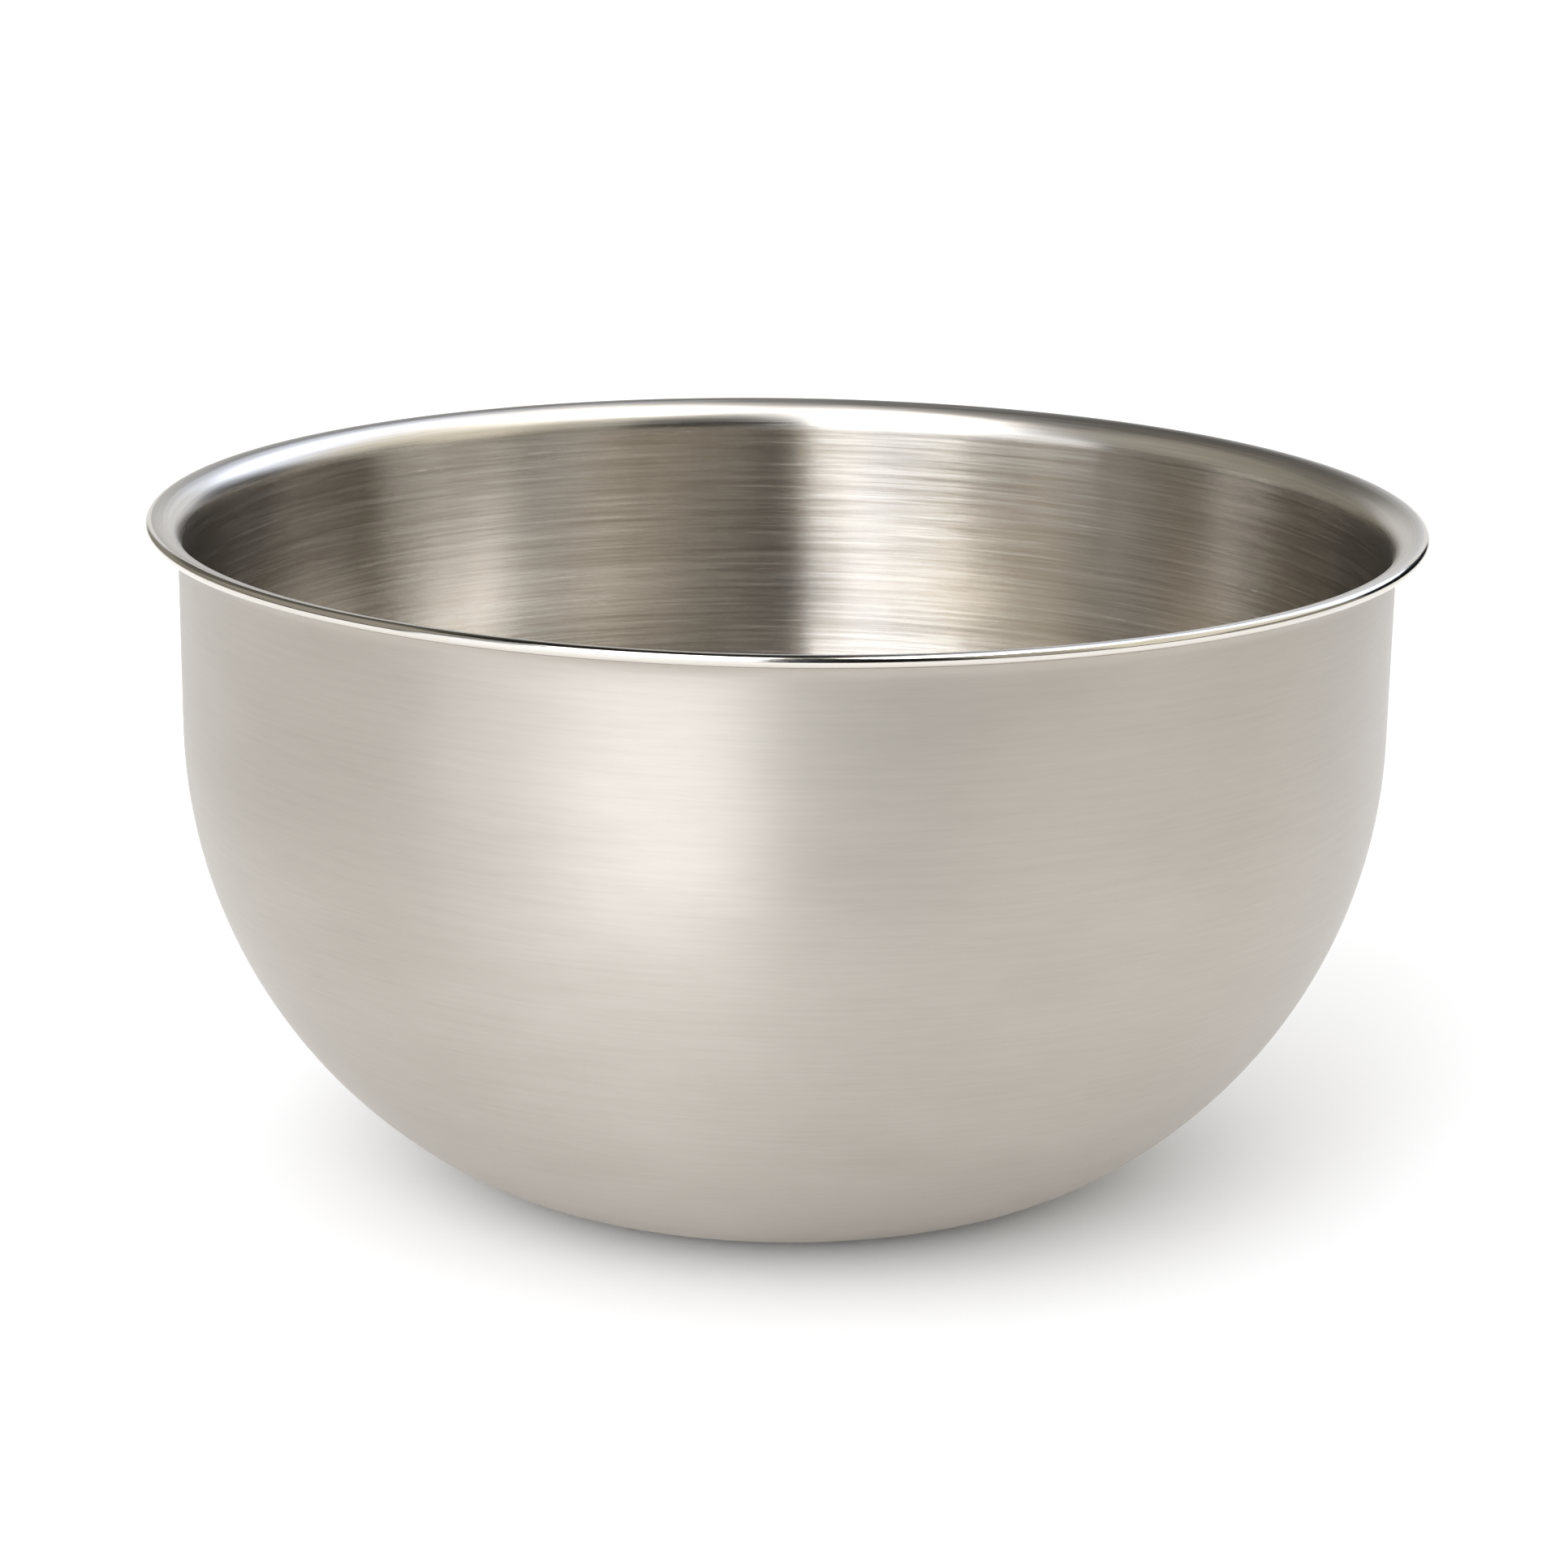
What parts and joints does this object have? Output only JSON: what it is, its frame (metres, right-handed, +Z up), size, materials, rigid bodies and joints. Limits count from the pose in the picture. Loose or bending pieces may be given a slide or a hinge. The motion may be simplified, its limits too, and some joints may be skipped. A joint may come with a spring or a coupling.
{
  "type": "mixing bowl",
  "caption": "Deep round stainless steel mixing bowl with a flat base, curved sides, a nearly straight upper wall and a flared lip whose edge is hemmed under; open at the top",
  "frame": {"origin": "centre of the flat base, on the surface the bowl rests on", "axes": "+Z up along the axis of the bowl; the bowl is the same all round, so +X and +Y are any two level directions"},
  "size_m": [0.24, 0.24, 0.1277],
  "materials": {
    "steel_sheet": "satin body outside, circular brushing inside, polished lip"
  },
  "bodies": {
    "root": {"bowl_shell": "steel_sheet"}
  },
  "joints": []
}
